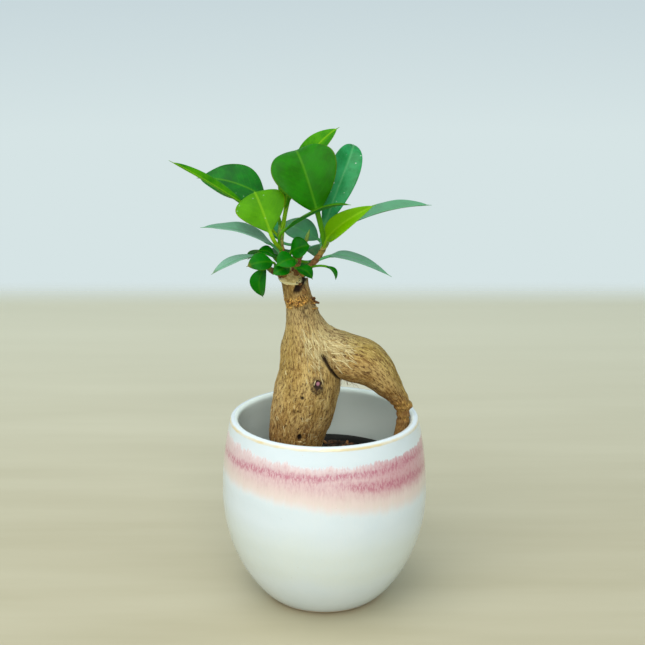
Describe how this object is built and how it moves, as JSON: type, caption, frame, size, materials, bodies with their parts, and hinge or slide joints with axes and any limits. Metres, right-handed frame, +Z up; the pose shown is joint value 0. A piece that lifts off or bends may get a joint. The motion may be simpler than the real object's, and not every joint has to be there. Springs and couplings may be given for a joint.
{
  "type": "bonsai tree in a pot",
  "caption": "Small ginseng ficus bonsai with a swollen trunk, an arched aerial root and leathery leaves, in a nursery pot inside a rounded glazed cover pot.",
  "frame": {"origin": "centre of the cover pot's flat underside, on the surface it stands on", "axes": "+Z up, -Y towards the front of the tree, +X to the right, the side that the aerial root arches to"},
  "size_m": [0.1311, 0.1078, 0.2486],
  "materials": {
    "glaze": "glossy white stoneware glaze with a pink run band under the rim",
    "nursery_plastic": "thin matt black plastic",
    "soil": "damp loose potting soil with bark chips",
    "bark": "dry, finely fissured tan bark",
    "twig": "rough reddish-brown young bark",
    "young_leaf": "waxy bright yellow-green",
    "green_leaf": "waxy mid green",
    "old_leaf": "waxy deep bluish green"
  },
  "bodies": {
    "root": {"cover_pot": "glaze", "nursery_pot": "nursery_plastic", "potting_soil": "soil", "trunk": "bark", "shoot_left": "twig", "shoot_front_left": "twig", "shoot_right": "twig", "shoot_centre": "twig", "shoot_back": "twig", "leaf_heart": "green_leaf", "leaf_crest": "young_leaf", "leaf_upright_right": "old_leaf", "leaf_bright_front": "young_leaf", "leaf_bright_behind": "young_leaf", "leaf_long_left": "young_leaf", "leaf_dark_left": "green_leaf", "leaf_curved_front": "green_leaf", "leaf_bright_right": "young_leaf", "leaf_long_right": "old_leaf", "leaf_spread_left": "old_leaf", "leaf_low_left": "old_leaf", "leaf_drooping_right": "old_leaf", "leaf_hanging": "green_leaf", "leaf_small_left": "green_leaf", "leaf_small_left_upper": "green_leaf", "leaf_small_front": "green_leaf", "leaf_small_front_low": "green_leaf", "leaf_inner_front": "green_leaf", "leaf_inner_back": "old_leaf", "leaf_small_low": "green_leaf", "leaf_small_right": "green_leaf", "leaf_back_left": "old_leaf", "leaf_back_tall": "green_leaf", "leaf_back_right": "old_leaf", "leaf_back_middle": "green_leaf", "leaf_back_low_left": "green_leaf", "leaf_back_low_right": "green_leaf", "bud_left": "young_leaf"}
  },
  "joints": []
}
